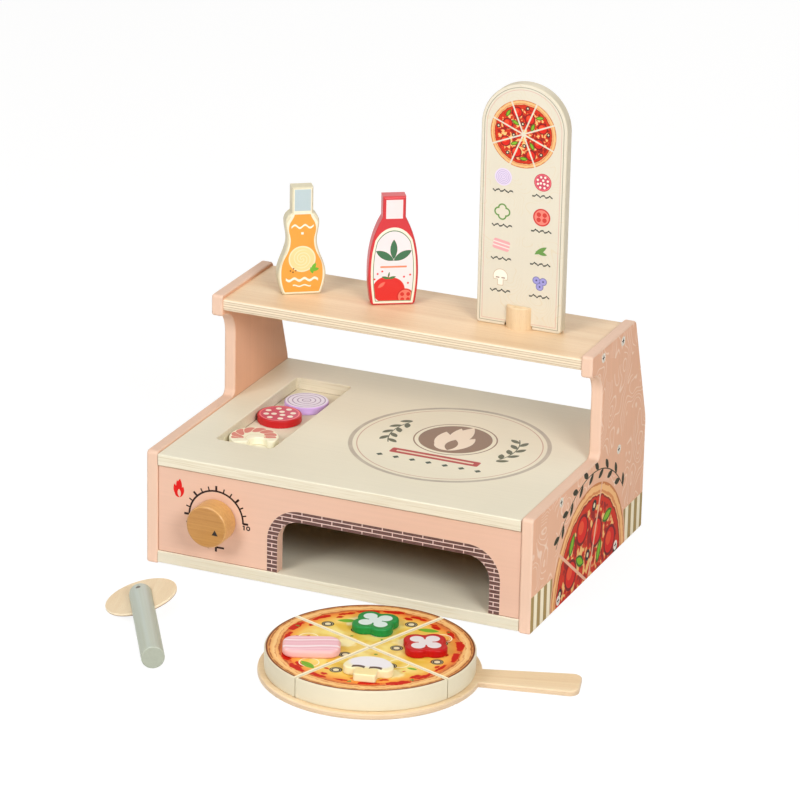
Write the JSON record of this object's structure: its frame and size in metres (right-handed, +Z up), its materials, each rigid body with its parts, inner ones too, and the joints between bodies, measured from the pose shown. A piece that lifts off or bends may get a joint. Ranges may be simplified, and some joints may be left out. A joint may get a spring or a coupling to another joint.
{
  "type": "toy oven",
  "caption": "Painted wooden toy oven with a shelf, sunken topping tray, turning knob, menu sign, sauce bottles, sliced play pizza on a peel and a wheel cutter.",
  "frame": {"origin": "middle of the cabinet's footprint, on the surface that it stands on", "axes": "+X runs to the right along the front, +Y from the front to the back, +Z up"},
  "size_m": [0.4887, 0.5415, 0.4705],
  "materials": {
    "pink_paint": "satin pale pink paint over wood",
    "cream_paint": "satin cream paint over wood",
    "birch_ply": "clear sealed birch plywood",
    "beech": "clear sealed beech",
    "dowel_wood": "bare beech dowel",
    "zinc_steel": "zinc plated steel",
    "yellow_bottle_paint": "satin cream paint with an orange print",
    "red_bottle_paint": "satin red paint with a pale print",
    "pepperoni_paint": "satin red paint, spotted top",
    "onion_paint": "satin lilac paint, ringed top",
    "shrimp_paint": "satin cream paint, banded top",
    "pizza_paint": "cream paint with a printed top",
    "ham_paint": "satin pink paint, streaked top",
    "green_pepper_paint": "satin green paint, pale heart",
    "red_pepper_paint": "satin red paint, pale heart",
    "mushroom_paint": "satin cream paint",
    "sign_paint": "cream paint with a printed face",
    "sage_paint": "satin grey-green paint over wood"
  },
  "bodies": {
    "root": {"left_side_panel": "pink_paint", "right_side_panel": "pink_paint", "hob_board": "cream_paint", "bottom_board": "cream_paint", "front_panel": "pink_paint", "back_panel": "pink_paint", "shelf_board": "birch_ply", "tray_floor": "cream_paint", "front_panel_dowels": "dowel_wood", "back_panel_dowels": "dowel_wood", "side_screws_left": "zinc_steel", "side_screws_right": "zinc_steel", "sign_post": "beech"},
    "knob": {"knob": "beech", "knob_screw": "zinc_steel", "knob_washer": "zinc_steel"},
    "sign": {"sign_board": "sign_paint"},
    "bottle_yellow": {"sauce_bottle_yellow": "yellow_bottle_paint"},
    "bottle_red": {"sauce_bottle_red": "red_bottle_paint"},
    "pepperoni": {"pepperoni": "pepperoni_paint"},
    "onion": {"onion": "onion_paint"},
    "shrimp": {"shrimp": "shrimp_paint"},
    "peel": {"pizza_peel": "birch_ply"},
    "slice_right": {"pizza_slice_right": "pizza_paint"},
    "slice_back": {"pizza_slice_back": "pizza_paint"},
    "slice_left": {"pizza_slice_left": "pizza_paint"},
    "slice_front": {"pizza_slice_front": "pizza_paint"},
    "ham": {"ham": "ham_paint"},
    "green_pepper": {"green_pepper": "green_pepper_paint"},
    "red_pepper": {"red_pepper": "red_pepper_paint"},
    "mushroom": {"mushroom": "mushroom_paint"},
    "cutter": {"cutter_handle": "sage_paint", "cutter_pin": "dowel_wood"},
    "cutter_wheel": {"cutter_wheel": "birch_ply"}
  },
  "joints": [
    {"name": "knob_turn", "type": "hinge", "parent": "root", "child": "knob", "pos_m": [-0.1264, -0.147, 0.057], "axis": [0, -1, 0], "continuous": true},
    {"name": "sign_lift", "type": "slide", "parent": "root", "child": "sign", "axis": [0, 0, 1], "range_m": [0, 0.06]},
    {"name": "yellow_bottle_lift", "type": "slide", "parent": "root", "child": "bottle_yellow", "axis": [0, 0, 1], "range_m": [0, 0.05]},
    {"name": "red_bottle_lift", "type": "slide", "parent": "root", "child": "bottle_red", "axis": [0, 0, 1], "range_m": [0, 0.05]},
    {"name": "pepperoni_lift", "type": "slide", "parent": "root", "child": "pepperoni", "axis": [0, 0, 1], "range_m": [0, 0.03]},
    {"name": "onion_lift", "type": "slide", "parent": "root", "child": "onion", "axis": [0, 0, 1], "range_m": [0, 0.03]},
    {"name": "shrimp_lift", "type": "slide", "parent": "root", "child": "shrimp", "axis": [0, 0, 1], "range_m": [0, 0.03]},
    {"name": "peel_lift", "type": "slide", "parent": "root", "child": "peel", "axis": [0, 0, 1], "range_m": [0, 0.05]},
    {"name": "slice_right_lift", "type": "slide", "parent": "peel", "child": "slice_right", "axis": [0, 0, 1], "range_m": [0, 0.04]},
    {"name": "slice_back_lift", "type": "slide", "parent": "peel", "child": "slice_back", "axis": [0, 0, 1], "range_m": [0, 0.04]},
    {"name": "slice_left_lift", "type": "slide", "parent": "peel", "child": "slice_left", "axis": [0, 0, 1], "range_m": [0, 0.04]},
    {"name": "slice_front_lift", "type": "slide", "parent": "peel", "child": "slice_front", "axis": [0, 0, 1], "range_m": [0, 0.04]},
    {"name": "red_pepper_lift", "type": "slide", "parent": "slice_right", "child": "red_pepper", "axis": [0, 0, 1], "range_m": [0, 0.02]},
    {"name": "green_pepper_lift", "type": "slide", "parent": "slice_back", "child": "green_pepper", "axis": [0, 0, 1], "range_m": [0, 0.02]},
    {"name": "ham_lift", "type": "slide", "parent": "slice_left", "child": "ham", "axis": [0, 0, 1], "range_m": [0, 0.02]},
    {"name": "mushroom_lift", "type": "slide", "parent": "slice_front", "child": "mushroom", "axis": [0, 0, 1], "range_m": [0, 0.02]},
    {"name": "cutter_lift", "type": "slide", "parent": "root", "child": "cutter", "axis": [0, 0, 1], "range_m": [0, 0.05]},
    {"name": "cutter_wheel_turn", "type": "hinge", "parent": "cutter", "child": "cutter_wheel", "pos_m": [-0.15461, -0.25036, 0.011], "axis": [-0.2339, -0.1416, 0.9619], "continuous": true}
  ]
}
